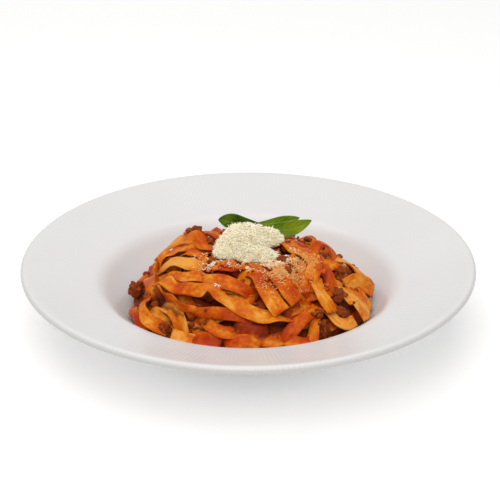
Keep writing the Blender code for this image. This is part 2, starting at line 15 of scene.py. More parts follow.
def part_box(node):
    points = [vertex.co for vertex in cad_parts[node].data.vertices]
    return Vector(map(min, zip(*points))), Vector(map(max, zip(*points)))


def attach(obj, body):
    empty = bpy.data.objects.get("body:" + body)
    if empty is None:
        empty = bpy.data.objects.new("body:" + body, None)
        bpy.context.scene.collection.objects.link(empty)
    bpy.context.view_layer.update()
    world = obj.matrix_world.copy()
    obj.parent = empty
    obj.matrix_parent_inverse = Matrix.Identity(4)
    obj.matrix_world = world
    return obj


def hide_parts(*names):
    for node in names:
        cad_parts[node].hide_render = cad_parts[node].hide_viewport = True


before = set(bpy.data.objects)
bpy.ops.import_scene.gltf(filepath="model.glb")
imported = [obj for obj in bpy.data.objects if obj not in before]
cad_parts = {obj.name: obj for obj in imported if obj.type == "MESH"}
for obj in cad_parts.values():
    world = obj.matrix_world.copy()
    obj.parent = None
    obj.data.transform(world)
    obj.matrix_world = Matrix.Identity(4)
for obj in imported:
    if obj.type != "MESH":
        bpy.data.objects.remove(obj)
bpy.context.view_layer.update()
MM = 0.001

# Plate
PLATE_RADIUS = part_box("bowl")[1].x / MM
WELL_RADIUS = 87.0  # where the well meets the rim
WELL_EDGE_Z = 36.0
WELL_RINGS = (0, 12, 24, 34, 42, 49, 55, 60, 65, 69, 73, 77, 80, 82.5)  # radii at which its surface is drawn
WELL_POWER = 2.4  # how late the well's floor turns up into its wall
FLOOR_RADIUS = 38.0
FLOOR_Z = 8.0
EDGE_RADII = (84.0, 92.0)  # between which the well's wall bends over into the rim
EDGE_SLOPES = (1.2555, 0.284)  # of the wall and of the rim at those radii
EDGE_RISE = 2.0  # of the second radius over the well's edge
RIM_RISE = 11.2  # from the well's edge to the lip's outermost line
RIM_SAG = 0.35  # how far the rim hangs below a straight line
LIP_RADIUS = 2.3
LIP_TURNS = (105, 88, 70, 52, 34, 16, 0, -16, -32, -46, -60)  # degrees round the lip, from the rim outwards
LIP_SHADE_TURN = 85  # on the lip the painted shade begins here, and is full at 0 degrees
UNDERSIDE = [(96, 33.5), (84, 23), (70, 11)]  # radius and height, between the lip and the foot
UNDERSIDE_STEP = 5.0
LIP_SHADE_ROWS = 4  # rows of the underside over which the lip's painted shade fades out again
FOOT_RADIUS = 50.0
FOOT_WIDTH = 5.0
FOOT_HEIGHT = 3.0
RIB_COUNT = 288
RIB_HEIGHT = 0.12
RIB_SIDES = 5  # points round each rib
RIB_START = 94.0  # radius at which the ribs begin, to reach their height after RIB_FADE
RIB_FADE = 3.5

# Heap of pasta: a flat-topped dome whose height falls off as a power of the radius
HEAP_X = 2.0
HEAP_RADIUS = 77.0
HEAP_TOP_Z = 60.0
HEAP_EDGE_Z = 24.0
HEAP_POWER = 2.6
GAP = 0.5  # between the food and the plate

# Bed of sauce and mince between the noodles
SAUCE_DROP = 8.5  # how far it lies below the dome
SAUCE_RADIUS = 69.0
SAUCE_TOP_Z = 51.0
SAUCE_ROOM = 0.2  # by which its upper side clears the plate more than its lower side does
SAUCE_SKIRT = 0.8  # its least thickness over that, and SAUCE_HEM in the dips between its lumps
SAUCE_HEM = 0.5
SAUCE_LUMPS = 1.1  # height of its lumps
SAUCE_SIDES = 180
SAUCE_RINGS = 60
SAUCE_BOTTOM_RINGS = (0.97, 0.8, 0.5, 0.02)  # shares of its radius

# Fettuccine
NOODLE_THICK = 1.6
RIBBON_THICK = 1.15  # of the finished noodle; the rest is room between the layers
LOOSE_WIDTH = 8.0
STEP = 1.5  # between the points at which a noodle is laid
SINK = 0.3  # how far a noodle presses into what it lies on
TUCK = -5.0  # lift at a hidden end, which dives under its neighbours
PLATE_ROOM = 0.6  # further gap kept between the noodles and the plate
SAG = 0.02  # how far a loose noodle sinks at each pass that eases its line
SETTLING_PASSES = 3
EASING_PASSES = 25

# Ribbons' own shape: waves along each edge, in its twist and cupping, and in its width
WAVE_LENGTHS = ((12, 12, 26, 30), (22, 22, 50, 60))  # shortest and longest of each wave
RUFFLE = 0.8  # height of an edge's waves
TWIST = 7  # degrees
CUPPING = 0.5
WIDTH_WAVE = 0.06  # share of the width
END_TAPER = 0.6  # share of its thickness that a ribbon keeps at its ends
RIBBON_COLUMNS = 9  # points across each face
RIBBON_SIDES = 2 * RIBBON_COLUMNS - 2  # points round a ribbon
FACE_SHIFT = 3  # keeps the marks on a ribbon's two faces unlike each other
SHALLOW = 3.5  # a point of a ribbon less than this far below the top of the heap gets no painted shade
DEEP_REACH = 8  # further depth at which its painted shade is full

# Loose noodles: how many, how high over the dome they may lie and how far forward they may come
UNDER_COUNT = 46
UNDER_LIMITS = (-1.5, -90)
RIM_COUNT = 12
RIM_LIMITS = (1.0, -4)
BACK_COUNT = 26
BACK_LIMITS = (-0.2, 6)
TRIES = 12  # for each of them
LOOSE_RADII = (20, 60)  # of the arc that each follows
LOOSE_SPREAD = 20  # of the middles of those arcs
LOOSE_POINTS = 6
LOOSE_ROLL = 14  # spread of their roll
LOOSE_REACH = 71  # radius that they stay within
LOOSE_SAUCE = (0.2, 0.9)  # least and most sauce on them
RIM_RADII = (60, 70)
RIM_HEADINGS = (-0.3, 2.7)

# The field holds the height reached so far over a square grid of plan cells
CELL = 1.0
HALF_CELLS = 90

# Parmesan
MOUND_X = 0.5
MOUND_Y = -5.0
MOUND_RX = 23.0
MOUND_RY = 21.0
MOUND_LOBES = [(-3, -2, 14.5, 17, 9.0), (8, 5.5, 12, 8.5, 4.6), (-9, -10, 10, 8, 3.2), (1, -15.5, 9, 7, 4.0),
               (11, -19, 4.5, 3.5, 1.2)]  # plan x and y, radii and rise of the heaps that make up the mound
LOBE_POWER = 2.2
FLUFF = [(2.1, 0.16, 3.0), (1.1, 0.4, 9.0)]  # unevenness: height, cycles a millimetre and its noise's level
MOUND_EDGE = -0.5  # the core ends where the mound's surface lies this low against the dome
MOUND_SHREDS = 13500
MOUND_LENGTHS = (1.6, 4.6)
MOUND_HALVES = (0.12, 0.26)  # half the thickness of its shreds
MOUND_TILT = 0.42  # spread of their pitch
MOUND_SPAN = (1.25, 1.15)  # shares of MOUND_RX and MOUND_RY over which they are drawn
SHRED_LAYER = 1.2  # how far the shreds stand over the mound's surface
LAYER_EDGE = 0.2  # they lie where that is at least this far over the dome
SHRED_SINK = 0.5  # spread of how far they lie below that
STRAY_SHARE = 0.07  # of the shreds, those that stick out
STRAY_RISE = 1.4
CHEESE_DROP = 0.9  # how far the core lies below the mound's surface
CHEESE_FOOT = 0.7  # share of its radii at which the core is closed, CHEESE_DEPTH below the dome
CHEESE_DEPTH = 4
CHEESE_SIDES = 72
CHEESE_RINGS = 30

# Shape of every shred
SHRED_BEND = 0.12  # spread of its bend, as a share of its length
SHRED_TAPER = 0.6  # share of its thickness that a shred keeps at its ends
SHRED_FLATNESS = 1.6

# Shreds that fell beside the mound
FALLEN_LENGTHS = (0.8, 2.6)
FALLEN_HALVES = (0.08, 0.19)
FALLEN_TILT = 0.4
FALLEN_REACH = 70  # radius that they stay within
FALLEN_DEPTH = 3  # they stay off what lies this far below the dome
# Plan x and y of the middle, spreads along x and y, and count
CLEAN_CHEESE = [(-21, -18, 4, 4, 380), (13, -25, 6, 3, 420), (-2, -27, 8, 2, 140), (22, -16, 3, 4, 150),
                (2, -12, 13, 11, 50), (-18, -44, 1, 1, 22), (-6, -36, 1.5, 1, 28)]
SAUCED_CHEESE = [(12, -23, 5, 3, 420), (19, -36, 4, 5, 760), (26, -33, 5, 5, 560), (29, -20, 6, 5, 480),
                 (14, -46, 4, 4, 140), (0, -12, 22, 20, 110)]

# Ribbons that show, from the lowest to the topmost: width, share of sauce on it, then plan x and y, lift over
# the dome and, where there is any, roll in degrees
SHOWN_NOODLES = [
    (8.5, 0.2, [(-44, -58, -5), (-37, -61, -1), (-30, -63, -5)]),
    (8.5, 0.8, [(-33, -60, -5), (-25, -65, -1, -10), (-16, -68, -5)]),
    (8.5, 0.72, [(-13, -69, -5), (-4, -69, -1), (7, -69, -5)]),
    (8.0, 0.65, [(8, -67, -5), (15, -68, -2), (22, -64, -5)]),
    (9.0, 0.7, [(3, -56, -7), (6, -64, -2), (8, -69, -5)]),
    (10.0, 0.8, [(-10, -62, -6), (-4, -64, -4, -20), (5, -65, -4, -20), (12, -63, -6)]),
    (7.5, 0.55, [(-27, -50, -6), (-23, -59, -1), (-17, -64, -1), (-11, -65, -2), (-6, -63, -6)]),
    (7.5, 0.8, [(-64, -21, -5), (-68, -25, -1), (-64, -36, -1), (-57, -44, -5)]),
    (6.5, 0.3, [(-60, -28, -6), (-54, -38, -1), (-49, -42, -1), (-44, -46, -6)]),
    (8.0, 0.5, [(-58, -18, -6), (-61, -28, 1), (-62, -34, 1), (-59, -41, 1), (-53, -47, 0),
                (-46, -50, -5)]),
    (9.0, 0.15, [(-50, -33, -5), (-45, -44, 2), (-40, -51, 2), (-38, -55, -1), (-38, -58, -7)]),
    (8.0, 0.5, [(-57, 0, -5), (-59, -8, 0), (-57, -19, 0), (-53, -27, -6)]),
    (8.0, 0.4, [(-54, -7, -6), (-45, -19, -1), (-34, -28, 0), (-23, -33, 0), (-12, -30, -6)]),
    (9.0, 0.1, [(-54, 0, -5), (-51, -5, 0.5), (-47, -8, 1.5), (-41, -12, 2, -5), (-36, -16, 1.5, -5),
                (-31, -18, 0.5), (-26, -18, -5)]),
    (6.5, 0.6, [(-41, 3, -5), (-37, -3, 1), (-33, -7, 1.5), (-28, -11, 1), (-25, -16, -5)]),
    (8.0, 0.4, [(-50, 17, -6), (-42, 22, 0), (-32, 22, 2), (-23, 22, 1), (-15, 19, -6)]),
    (8.5, 0.5, [(-56, 0, -6), (-51, 5, 0), (-43, 6, 0.5), (-35, 3, 0.5), (-27, 0, -6)]),
    (9.0, 0.45, [(-48, 4, -7), (-51, 10, -1), (-49, 15, 0), (-43, 15, 1.5, -20), (-35, 8, 2, -35),
                 (-26, 0, 1.5, -25), (-18, 3, -6)]),
    (8.0, 1.0, [(-25, -17, -5), (-16, -27, 1), (-8, -28, 1), (0, -22, -6)]),
    (9.0, 0.6, [(-31, -29, -6), (-21, -38, 1.5, -5), (-12, -42, 2.5, -10), (-3, -45, 1.5, -10),
                (5, -46, -6)]),
    (8.0, 0.8, [(18, -52, -7), (26, -51, -1), (37, -42, -7)]),
    (8.0, 0.6, [(44, -8, -6), (50, -3, -1), (57, 0, -1), (64, -2, -6)]),
    (8.0, 0.3, [(46, 2, -7), (54, 4, 1), (63, 2, 2.5), (70, -2, 0.5)]),
    (7.5, 0.7, [(18, 8, -5), (25, 6, 1), (31, 2, 1), (36, -5, -5)]),
    (7.0, 0.5, [(38, -3, -7), (40, 4, 2), (44, 7, 6), (49, 6, 6), (52, 1, -5)]),
    (8.0, 0.7, [(60, -8, -7), (66, -18, -3), (66, -30, -3), (61, -40, -7)]),
    (9.5, 0.22, [(57, -14, -6, -30), (61, -12, 0.5, -40), (66, -9, 2, -45), (71, -6, 2, -45),
                 (75, -3, 0, -40)]),
    (12.0, 0.25, [(54, -17, -6), (58, -26, 1.5), (62, -30, 2), (65, -34, 2), (66, -39, 0.5),
                  (64, -45, -6)]),
    (7.0, 0.6, [(66, -10, -7), (70, -16, -4), (70, -22, -4), (67, -30, -7)]),
    (7.5, 0.28, [(45, -41, -6), (50, -48, 0, -5), (54, -50, 0), (58, -51, -2.5), (61, -49, -7)]),
    (6.5, 0.55, [(38, -1, -5, -40), (43, -17, 3, -55), (46, -23, 3, -40), (49, -26, 1, -10),
                 (50, -30, -5)]),
    (8.0, 0.6, [(6, -17, -6), (15, -27, 1), (23, -31, 1, -5), (29, -35, 0, -5), (34, -40, -6)]),
    (8.5, 0.6, [(15, -10, -6), (23, -19, 1), (30, -24, 1), (33, -33, 1), (30, -40, -5)]),
    (9.5, 0.52, [(19, 7, -5), (28, -8, 2), (35, -15, 3, -10), (39, -24, 3, -10), (33, -39, -5)]),
    (8.5, 0.3, [(38, -29, -6), (42, -39, 1.5), (45, -43, 2), (48, -47, 1)]),
    (7.0, 0.7, [(20, -66, -4), (26, -68, 0), (33, -67, 0), (39, -61, -4)]),
    (7.0, 0.65, [(38, -47, -4, -30), (38, -55, 1, -40), (37, -61, 1, -40), (36, -66, -4, -20)]),
    (8.0, 0.6, [(19, -68, -5, 10), (25, -64, 2, 10), (31, -58, 2.5, 15), (36, -52, 0, 20),
                (40, -45, -4, 20)]),
    (7.0, 0.6, [(-55, 8, -4, -60), (-54, -20, 4, -70), (-47, -40, 3.5, -75), (-36, -52, 3.5, -60),
                (-20, -59, 4.5, -35), (-6, -61, 3, -20), (8, -60, -6, -10)]),
    (9.5, 0.4, [(-53, -22, -5, 30), (-46, -32, 1.5, 20), (-36, -39, 3, 5), (-25, -45, 3.5, 5),
                (-19, -49, 4, 45), (-11, -56, 4, 15), (-3, -60, 4), (6, -62, 3.5, 10), (15, -61, 3, 35),
                (24, -57, -4, 50)]),
    (11.0, 0.7, [(0, -24, -7), (6, -38, 2, 5), (10, -48, 4, 5), (14, -55, 5, 5), (19, -60, 3.5)]),
    (10.0, 0.55, [(12, -29, -6, -10), (17, -41, 3, -15), (22, -48, 5, -15), (28, -52, 4, -10)]),
]

# Pieces of minced meat: plan x, y and lift of the middle, then length, width, height and turn about Z
MEAT = [
    (-67, -4, -2, 9, 8, 11, 10),
    (-58, -19, -5, 9, 7, 7, 70),
    (-32, 18, 3.5, 10, 8, 9, 20),
    (-26, 4, 0.5, 8, 6, 6, 0),
    (56, -6, -5, 11, 9, 11, 40),
    (50, -29, -6, 10, 9, 10, 0),
    (54, -39, -6, 10, 9, 11, 50),
    (41, -53, -7, 9, 8, 13, 0),
    (17, -30, -4, 8, 7, 7, 0),
    (23, 2, -3, 7, 6, 7, 30),
    (-49, -47, -6, 11, 9, 9, -30),
    (-12, -63, -7, 16, 7, 7, -5),
    (-55, -30, -6, 7, 6, 7, 0),
    (44, -17, -7, 6, 6, 8, 0),
]

# Crumbs of mince that lie together on top: plan x and y of the middle, spread and count
MINCE_CLUSTERS = [(15, -12, 2.2, 18), (20, -21, 2.0, 12), (24, -29, 1.6, 9), (-26, -56, 2.0, 6),
                  (54, -34, 2.0, 18), (42, -53, 2.0, 24), (45, -58, 2.0, 16), (57, -38, 1.6, 14),
                  (59, -44, 1.6, 14)]
CLUSTER_SIZES = (0.8, 1.9)

# Crumbs of mince in the gaps between the noodles
CRUMB_COUNT = 300
CRUMB_SIZES = (0.9, 2.2)
CRUMB_REACH = 72  # radius that they stay within
CRUMB_DEPTH = 3.5  # least depth of a gap that holds one

# Bits of tomato: plan x and y of the middle, spread and count
PULP_PATCHES = [(-14, -26, 5, 26), (4, -26, 4, 12), (30, -8, 8, 7), (0, 0, 40, 40)]
PULP_SIZES = (0.8, 2.2)
PULP_REACH = 68
PULP_SQUASH = 0.6  # of a patch's spread along y, and of a bit's height

# Basil: base, middle and tip of the midrib, width, tilt of the face in degrees, how far it cups, how near the
# tip it is widest, and its darker and lighter green
BASIL = [
    dict(base=(7, 23, 62.0), middle=(-6, 20.0, 63.4), tip=(-18, 16, 67.3), width=10.0, tilt=52, cup=1.2,
         belly=1.5, dark=(0.018, 0.050, 0.001), light=(0.105, 0.165, 0.005)),
    dict(base=(5.5, 26, 60.8), middle=(18, 25, 61.3), tip=(31, 23, 65.4), width=6.8, tilt=55, cup=1.0,
         belly=1.35, dark=(0.11, 0.19, 0.004), light=(0.21, 0.31, 0.012)),
    dict(base=(5.5, 20, 61.0), middle=(23, 16.5, 60.5), tip=(38, 16, 66.8), width=9.5, tilt=50, cup=1.2,
         belly=1.1, dark=(0.065, 0.13, 0.002), light=(0.22, 0.29, 0.006)),
]
LEAF_THICK = 0.5
LEAF_ROWS = 44
LEAF_COLUMNS = 25
VEIN_PAIRS = 6.5
VEIN_SLANT = 1.6  # how far a side vein runs towards the tip on its way out
LEAF_PUFF = 0.32  # rise between the veins
MIDRIB_WIDTH = 0.35
MIDRIB_DEPTH = 0.15
LEAF_WAVE = 0.35

# Camera: it looks down on the plate from the front
CAMERA_ELEVATION = 25.88
CAMERA_DISTANCE = 1000.0
CAMERA_AIM = (1.0, 0.0, 54.7)
CAMERA_PIVOT_Z = 40.0  # height of the point that its distance is measured from
CAMERA_LENS = 120.3
SENSOR_WIDTH = 36

# Lights: name, place, aim, size, power and colour, in metres and watts
LIGHTS = [("overhead", (-0.2, 0.0, 1.6), (0, 0, 0), 1.7, 9.5, (1.0, 0.985, 0.965)),
          ("front_key", (-0.05, -1.1, 1.25), (0, 0, 0.03), 0.9, 8.5, (1.0, 0.99, 0.97))]
SURROUND = 0.56
FLOOR_GLOW = 0.195  # just lifts the lit floor to white
FLOOR_CORNERS = [(-4000, -2000, 0), (4000, -2000, 0), (4000, 6000, 0), (-4000, 6000, 0)]

# Colours
GLAZE = [(0.3, (0.775, 0.765, 0.765)), (0.7, (0.795, 0.785, 0.785))]
# painted shade: the grey that the lip's outer face and the top of the underside are painted
LIP_SHADE_GREY = (0.52, 0.515, 0.505)
COAT = [(0.0, (0.80, 0.34, 0.054)), (0.25, (0.72, 0.215, 0.0075)), (0.55, (0.60, 0.096, 0.001)),
        (1.0, (0.43, 0.030, 0.001))]  # from bare pasta to the thickest sauce
# painted shade: the dark colour given to noodles that lie low among the others
PAINTED_SHADE_PASTA = (0.13, 0.016, 0.002)
SAUCE = [(0.3, (0.09, 0.012, 0.001)), (0.7, (0.30, 0.040, 0.003))]
MINCE = [(0.25, (0.10, 0.014, 0.001)), (0.5, (0.28, 0.050, 0.008)), (0.75, (0.52, 0.15, 0.035))]
PULP = [(0.3, (0.55, 0.07, 0.004)), (0.7, (0.80, 0.22, 0.02))]
CLEAN_TONES = [(0.3, (0.995, 0.90, 0.64)), (0.7, (0.995, 0.95, 0.80))]
SAUCED_TONES = [(0.35, (0.82, 0.33, 0.065)), (0.65, (0.92, 0.56, 0.22))]
LEAF_VEIN = (0.26, 0.38, 0.06)


# ---- layout

def well_height(radius):
    """Height of the well's inner surface at a radius."""
    climb = np.clip((radius - FLOOR_RADIUS) / (WELL_RADIUS - FLOOR_RADIUS), 0, 1.1)
    return FLOOR_Z + (WELL_EDGE_Z - FLOOR_Z) * climb**WELL_POWER


def dome(x, y):
    """Height of the heap's upper envelope over a plan position."""
    reach = np.minimum(np.hypot(x - HEAP_X, y) / HEAP_RADIUS, 1.15)
    return HEAP_EDGE_Z + (HEAP_TOP_Z - HEAP_EDGE_Z) * (1 - reach**HEAP_POWER)


def dome_normal(x, y):
    """Unit normal of the envelope."""
    slope_x = (dome(x + 1, y) - dome(x - 1, y)) / 2
    slope_y = (dome(x, y + 1) - dome(x, y - 1)) / 2
    normal = np.stack([-slope_x, -slope_y, np.ones_like(slope_x)], -1)
    return normal / np.linalg.norm(normal, axis=-1, keepdims=True)


def bed_height(x, y):
    """Height of the bed of sauce and mince below the noodles."""
    return np.minimum(dome(x, y) - SAUCE_DROP, SAUCE_TOP_Z)


def curve_through(points, step):
    """Even points along a Catmull-Rom curve through the rows, spaced by their plan distance."""
    rows = np.asarray(points, float)
    rows = np.vstack([2 * rows[0] - rows[1], rows, 2 * rows[-1] - rows[-2]])
    share = np.linspace(0, 1, 20, endpoint=False)[:, None]
    fine = []
    for a, b, c, d in zip(rows, rows[1:], rows[2:], rows[3:]):
        cubic = 3 * b - 3 * c + d - a
        square = 2 * a - 5 * b + 4 * c - d
        fine.append(b + 0.5 * ((c - a) * share + square * share**2 + cubic * share**3))
    fine = np.vstack([*fine, rows[-2:-1]])
    run = np.append(0, np.cumsum(np.hypot(*np.diff(fine[:, :2], axis=0).T)))
    places = np.linspace(0, run[-1], max(4, round(run[-1] / step)) + 1)
    return np.stack([np.interp(places, run, column) for column in fine.T], -1)


def ribbon_frame(line, roll):
    """Unit width direction and face normal along a ribbon that lies on the dome, turned by its roll."""
    along = np.gradient(line, axis=0)
    along /= np.linalg.norm(along, axis=1, keepdims=True)
    side = np.cross(along, dome_normal(line[:, 0], line[:, 1]))
    side /= np.linalg.norm(side, axis=1, keepdims=True)
    up = np.cross(side, along)
    turn = np.radians(roll)[:, None]
    across = side * np.cos(turn) + up * np.sin(turn)
    return across, np.cross(across, along)


def cells(x, y):
    """Indices of the field's cells over plan positions."""
    column = np.clip(np.round(x / CELL).astype(int) + HALF_CELLS, 0, 2 * HALF_CELLS)
    row = np.clip(np.round(y / CELL).astype(int) + HALF_CELLS, 0, 2 * HALF_CELLS)
    return column, row


def top_at(field, x, y):
    """Height of the field over one plan position."""
    return float(field[cells(x, y)])


FIELD_X, FIELD_Y = np.mgrid[-HALF_CELLS:HALF_CELLS + 1, -HALF_CELLS:HALF_CELLS + 1] * CELL
WELL_FIELD = well_height(np.hypot(FIELD_X, FIELD_Y)) + GAP + PLATE_ROOM


def lay(path, width, field, loose):
    """Centre line of a noodle at rest: on the field below it and, unless it is loose, at its own lift."""
    x, y, lift, roll = path.T
    goal = np.full_like(x, -np.inf) if loose else dome(x, y) + lift
    sag = SAG if loose else 0.0
    height = dome(x, y)
    offset = np.linspace(-0.5, 0.5, 7) * width
    for _ in range(SETTLING_PASSES):
        across, face = ribbon_frame(np.stack([x, y, height], -1), roll)
        spot = cells(x[:, None] + offset * across[:, 0:1], y[:, None] + offset * across[:, 1:2])
        edge = 0.5 * NOODLE_THICK * np.abs(face[:, 2:3]) - offset * across[:, 2:3]
        rest = (field[spot] + edge).max(axis=1) - SINK + np.minimum(lift, 0)
        rest = np.maximum(rest, (WELL_FIELD[spot] + edge).max(axis=1))
        height = np.maximum(rest, goal)
        for _ in range(EASING_PASSES):
            eased = height.copy()
            eased[1:-1] = 0.25 * height[:-2] + 0.5 * height[1:-1] + 0.25 * height[2:] - sag
            height = np.maximum(eased, rest)
    return np.stack([x, y, height], -1)


def raise_field(field, line, roll, width):
    """Lift the field to the top of a noodle that has been laid."""
    across, face = ribbon_frame(line, roll)
    offset = np.linspace(-0.5, 0.5, 15) * width
    for share in (0.0, 0.5):
        middle = line[:-1] * (1 - share) + line[1:] * share
        x = middle[:, 0:1] + offset * across[:-1, 0:1]
        y = middle[:, 1:2] + offset * across[:-1, 1:2]
        top = middle[:, 2:3] + offset * across[:-1, 2:3] + 0.5 * NOODLE_THICK * np.abs(face[:-1, 2:3])
        np.maximum.at(field, cells(x, y), top)


def loose_path(draw, middle, radii, headings):
    """Plan points of a loose noodle: a wandering arc about a middle, or None where it leaves the heap."""
    angle = np.linspace(*headings, LOOSE_POINTS)
    reach = draw.uniform(*radii) * (1 + 0.1 * draw.normal(size=LOOSE_POINTS))
    x, y = middle[0] + reach * np.cos(angle), middle[1] + reach * np.sin(angle)
    kept = np.flatnonzero(np.hypot(x - HEAP_X, y) < LOOSE_REACH)
    run = max(np.split(kept, np.flatnonzero(np.diff(kept) > 1) + 1), key=len)
    if len(run) < 4:
        return None
    lift = np.zeros(len(run))
    lift[[0, -1]] = TUCK
    return np.stack([x[run], y[run], lift, draw.normal(0, LOOSE_ROLL, len(run))], -1)


def lay_one(path, field, draw, highest, nearest_y):
    """A loose noodle as a one-item list, or none if it comes too near or lies too high over the dome."""
    if path is None or path[:, 1].min() < nearest_y:
        return []
    path = curve_through(path, STEP)
    line = lay(path, LOOSE_WIDTH, field, True)
    if (line[:, 2] - dome(line[:, 0], line[:, 1])).max() > highest:
        return []
    raise_field(field, line, path[:, 3], LOOSE_WIDTH)
    return [(line, path[:, 3], LOOSE_WIDTH, draw.uniform(*LOOSE_SAUCE))]


def lay_loose(field, draw, count, highest, nearest_y):
    """Loose noodles across the heap, under a height above the dome and behind a line."""
    laid = []
    for _ in range(TRIES * count):
        start = draw.uniform(0, math.tau)
        headings = (start, start + draw.uniform(1.0, 2.6) * draw.choice((-1, 1)))
        path = loose_path(draw, draw.normal(0, LOOSE_SPREAD, 2), LOOSE_RADII, headings)
        if len(laid) < count:
            laid += lay_one(path, field, draw, highest, nearest_y)
    return laid


def lay_rim(field, draw):
    """Noodles that run along the heap's foot, round its back and sides."""
    laid = []
    for start in np.linspace(*RIM_HEADINGS, RIM_COUNT):
        first = start + draw.normal(0, 0.1)
        path = loose_path(draw, (HEAP_X, 0), RIM_RADII, (first, first + draw.uniform(0.7, 1.1)))
        laid += lay_one(path, field, draw, *RIM_LIMITS)
    return laid


def lay_noodles():
    """Every noodle from the bottom up, as (line, roll, width, sauce), and the height field over them."""
    field = np.maximum(bed_height(FIELD_X, FIELD_Y), WELL_FIELD)
    draw = np.random.default_rng(11)
    laid = lay_loose(field, draw, UNDER_COUNT, *UNDER_LIMITS)
    for width, sauce, points in SHOWN_NOODLES:
        path = curve_through([(*point, 0)[:4] for point in points], STEP)
        line = lay(path, width, field, False)
        raise_field(field, line, path[:, 3], width)
        laid.append((line, path[:, 3], width, sauce))
    laid += lay_rim(field, draw)
    laid += lay_loose(field, draw, BACK_COUNT, *BACK_LIMITS)
    return laid, field


# ---- meshes

def mesh_object(name, points, faces, attributes=None, smooth=True):
    """An object from points in millimetres and faces, with float attributes on its points."""
    mesh = bpy.data.meshes.new(name)
    mesh.from_pydata((np.asarray(points) * MM).tolist(), [], faces)
    for key, values in (attributes or {}).items():
        layer = mesh.attributes.new(key, "FLOAT", "POINT")
        layer.data.foreach_set("value", np.asarray(values, np.float32))
    if smooth:
        mesh.shade_smooth()
    made = bpy.data.objects.new(name, mesh)
    bpy.context.scene.collection.objects.link(made)
    return made


def finish_piece(piece, material, slot, *nodes):
    """Give a piece its material and its body, and hide the solids of the nodes that it stands for; slot is
    not used.
    """
    piece.data.materials.append(material)
    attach(piece, "root")
    if nodes:
        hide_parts(*nodes)
    return piece


def grid_faces(rows, columns, wrap):
    """Quads over a grid of points; with wrap, each row closes on itself."""
    last = columns if wrap else columns - 1
    quads = []
    for i in range(rows - 1):
        for j in range(last):
            k = (j + 1) % columns
            quads.append((i * columns + j, i * columns + k, (i + 1) * columns + k, (i + 1) * columns + j))
    return quads


def ring_faces(rings, sides):
    """Faces over closed rings of points, from the first to the last, with a cap at each end."""
    faces = [quad[::-1] for quad in grid_faces(rings, sides, True)]
    faces.append(tuple(range(sides)))
    faces.append(tuple(range((rings - 1) * sides, rings * sides))[::-1])
    return faces


def shifted(faces, start):
    """The same faces on points that begin later in the list."""
    return [tuple(start + i for i in face) for face in faces]


def turned(points, angle):
    """Points turned about Z."""
    c, s = math.cos(angle), math.sin(angle)
    return points @ np.array([(c, s, 0), (-s, c, 0), (0, 0, 1)])


# ---- materials

class Shader:
    """A Principled material with short ways to add nodes."""

    def __init__(self, name, **values):
        self.material = bpy.data.materials.new(name)
        self.material.use_nodes = True
        self.tree = self.material.node_tree
        self.main = self.tree.nodes["Principled BSDF"]
        for key, value in values.items():
            self.main.inputs[key.replace("_", " ")].default_value = value

    def node(self, kind, **values):
        made = self.tree.nodes.new(kind)
        for key, value in values.items():
            setattr(made, key, value)
        return made

    def link(self, source, target):
        self.tree.links.new(source, target)

    def attribute(self, name):
        return self.node("ShaderNodeAttribute", attribute_name=name).outputs["Fac"]

    def noise_at(self, place, scale, detail, rough):
        made = self.node("ShaderNodeTexNoise")
        made.inputs["Scale"].default_value = scale
        made.inputs["Detail"].default_value = detail
        made.inputs["Roughness"].default_value = rough
        self.link(place, made.inputs["Vector"])
        return made.outputs["Fac"]

    def noise(self, scale, detail=3.0, rough=0.5):
        """Noise over the object's own coordinates, with its scale in cycles a metre."""
        return self.noise_at(self.node("ShaderNodeTexCoord").outputs["Object"], scale, detail, rough)

    def strip_noise(self, scale, detail):
        """Noise over the noodles' own strips, in cycles a millimetre, drawn out along each."""
        place = self.node("ShaderNodeCombineXYZ")
        for socket, name, stretch in zip(place.inputs, ("along", "across", "noodle"), (0.75, 1.0, 7.3)):
            self.link(self.math("MULTIPLY", self.attribute(name), stretch), socket)
        return self.noise_at(place.outputs[0], scale, detail, 0.6)

    def ramp(self, fac, stops):
        """A colour or grey ramp through (place, colour) stops."""
        made = self.node("ShaderNodeValToRGB")
        ramp = made.color_ramp
        while len(ramp.elements) < len(stops):
            ramp.elements.new(0.5)
        for element, (place, color) in zip(ramp.elements, stops):
            element.position = place
            element.color = (*color, 1.0) if isinstance(color, tuple) else (color, color, color, 1.0)
        self.link(fac, made.inputs["Fac"])
        return made.outputs["Color"]

    def math(self, operation, a, b, clamp=False):
        made = self.node("ShaderNodeMath", operation=operation, use_clamp=clamp)
        for socket, value in zip(made.inputs, (a, b)):
            if isinstance(value, (int, float)):
                socket.default_value = value
            else:
                self.link(value, socket)
        return made.outputs[0]

    def mix(self, fac, a, b):
        """One colour where the factor is 0 and the other where it is 1."""
        made = self.node("ShaderNodeMix", data_type="RGBA")
        for socket, value in zip((made.inputs[0], made.inputs[6], made.inputs[7]), (fac, a, b)):
            if isinstance(value, tuple):
                socket.default_value = (*value, 1.0)
            else:
                self.link(value, socket)
        return made.outputs[2]

    def color(self, value):
        self.link(value, self.main.inputs["Base Color"])

    def roughness(self, value):
        self.link(value, self.main.inputs["Roughness"])

    def bump(self, height, distance, strength=1.0):
        made = self.node("ShaderNodeBump")
        made.inputs["Strength"].default_value = strength
        made.inputs["Distance"].default_value = distance
        self.link(height, made.inputs["Height"])
        self.link(made.outputs["Normal"], self.main.inputs["Normal"])


def porcelain_material():
    """White glaze with the faintest mottling, with a grey painted shade over the outer face of the lip."""
    shader = Shader("porcelain_glaze", Roughness=0.15, IOR=1.5)
    glaze = shader.ramp(shader.noise(18.0, 2.0), GLAZE)
    # painted shade greys the glaze over the lip
    shader.color(shader.mix(shader.attribute("lip_shade"), glaze, LIP_SHADE_GREY))
    shader.roughness(shader.ramp(shader.noise(60.0, 2.0), [(0.3, 0.2), (0.7, 0.26)]))
    return shader.material


